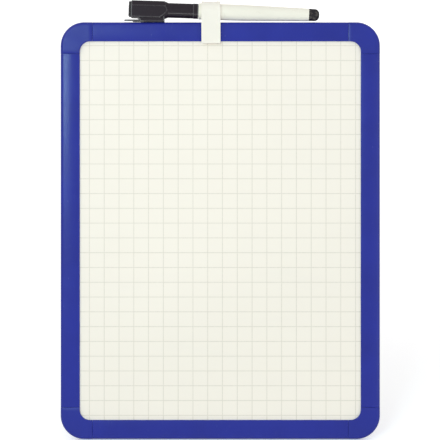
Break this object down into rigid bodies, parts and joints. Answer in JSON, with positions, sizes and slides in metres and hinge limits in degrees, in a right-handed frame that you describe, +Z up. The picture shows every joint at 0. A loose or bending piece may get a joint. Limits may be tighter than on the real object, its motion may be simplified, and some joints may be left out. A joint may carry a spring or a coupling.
{
  "type": "desk whiteboard easel",
  "caption": "Letter-size steel whiteboard with a grid in a rounded blue plastic frame, leaning on a folding back strut, with a capped marker in a sliding clip on the top rail.",
  "frame": {"origin": "on the desk, under the middle of the open easel's bounding box", "axes": "+X right, seen from the front; the writing face looks towards -Y and leans back 16 degrees; +Z up"},
  "size_m": [0.216, 0.0976, 0.2864],
  "materials": {
    "frame_plastic": "blue moulded plastic, semi-gloss",
    "writing_surface": "warm white enamel with a faint printed 10 mm grid",
    "core": "hardboard",
    "backing": "grey card",
    "fastener_steel": "zinc plated",
    "foot_rubber": "matt",
    "clip_plastic": "milky white, slightly translucent",
    "barrel_plastic": "white, semi-gloss",
    "marker_black": "black, satin",
    "felt": "pressed felt",
    "reservoir_fibre": "fibre rod",
    "magnet": "ferrite"
  },
  "bodies": {
    "board": {"writing_sheet": "writing_surface", "core_board": "core", "back_sheet": "backing", "top_rail": "frame_plastic", "bottom_rail": "frame_plastic", "left_rail": "frame_plastic", "right_rail": "frame_plastic", "corner_top_left": "frame_plastic", "corner_top_right": "frame_plastic", "corner_bottom_left": "frame_plastic", "corner_bottom_right": "frame_plastic", "hinge_bracket": "frame_plastic", "bracket_screws": "fastener_steel", "hinge_pin": "fastener_steel"},
    "strut": {"strut": "frame_plastic", "strut_foot": "foot_rubber"},
    "clip": {"pen_clip": "clip_plastic"},
    "marker": {"marker_barrel": "barrel_plastic", "barrel_plug": "marker_black", "nib_holder": "marker_black", "marker_nib": "felt", "ink_reservoir": "reservoir_fibre"},
    "cap": {"marker_cap": "marker_black", "eraser_pad": "felt", "cap_magnet": "magnet"}
  },
  "joints": [
    {"name": "strut_hinge", "type": "hinge", "parent": "board", "child": "strut", "pos_m": [0, 0.00629, 0.15712], "axis": [-1, 0, 0], "range_deg": [0, 30]},
    {"name": "clip_slide", "type": "slide", "parent": "board", "child": "clip", "axis": [1, 0, 0], "range_m": [-0.0733, 0.0859]},
    {"name": "marker_slide", "type": "slide", "parent": "clip", "child": "marker", "axis": [-0.9995, 0.0087, 0.0302], "range_m": [0, 0.085]},
    {"name": "cap_pull", "type": "slide", "parent": "marker", "child": "cap", "axis": [-0.9995, 0.0087, 0.0302], "range_m": [0, 0.04]}
  ]
}
